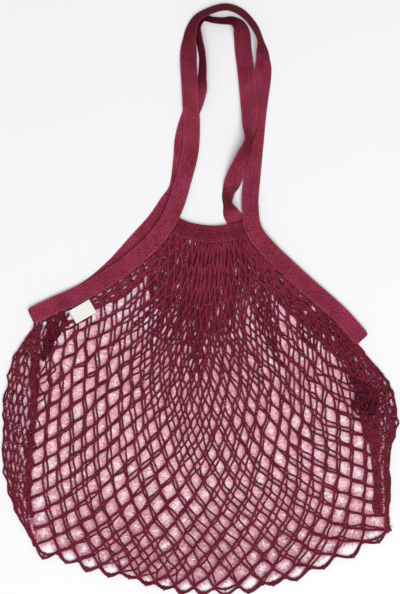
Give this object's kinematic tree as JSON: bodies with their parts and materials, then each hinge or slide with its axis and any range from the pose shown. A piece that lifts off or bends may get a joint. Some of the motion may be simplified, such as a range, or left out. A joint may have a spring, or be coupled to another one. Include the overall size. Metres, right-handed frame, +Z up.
{
  "type": "net shopping bag",
  "caption": "Cotton net shopping bag with long tape handles and a bare label, lying empty and flat.",
  "frame": {"origin": "middle of the underside of the whole bag, on the surface it lies on", "axes": "+X to the right across the bag, +Y from the bottom of the bag to the top of its handles, +Z up from the surface"},
  "size_m": [0.512, 0.7672, 0.0218],
  "materials": {
    "net_yarn": "matt twisted cotton yarn, wine red",
    "handle_tape": "matt ribbed cotton tape, wine red",
    "label_cloth": "matt woven tape, cream, bare"
  },
  "bodies": {
    "root": {"net_body": "net_yarn", "tape_front": "handle_tape", "tape_back": "handle_tape", "mouth_band_front": "handle_tape", "mouth_band_back": "handle_tape", "label": "label_cloth"}
  },
  "joints": []
}
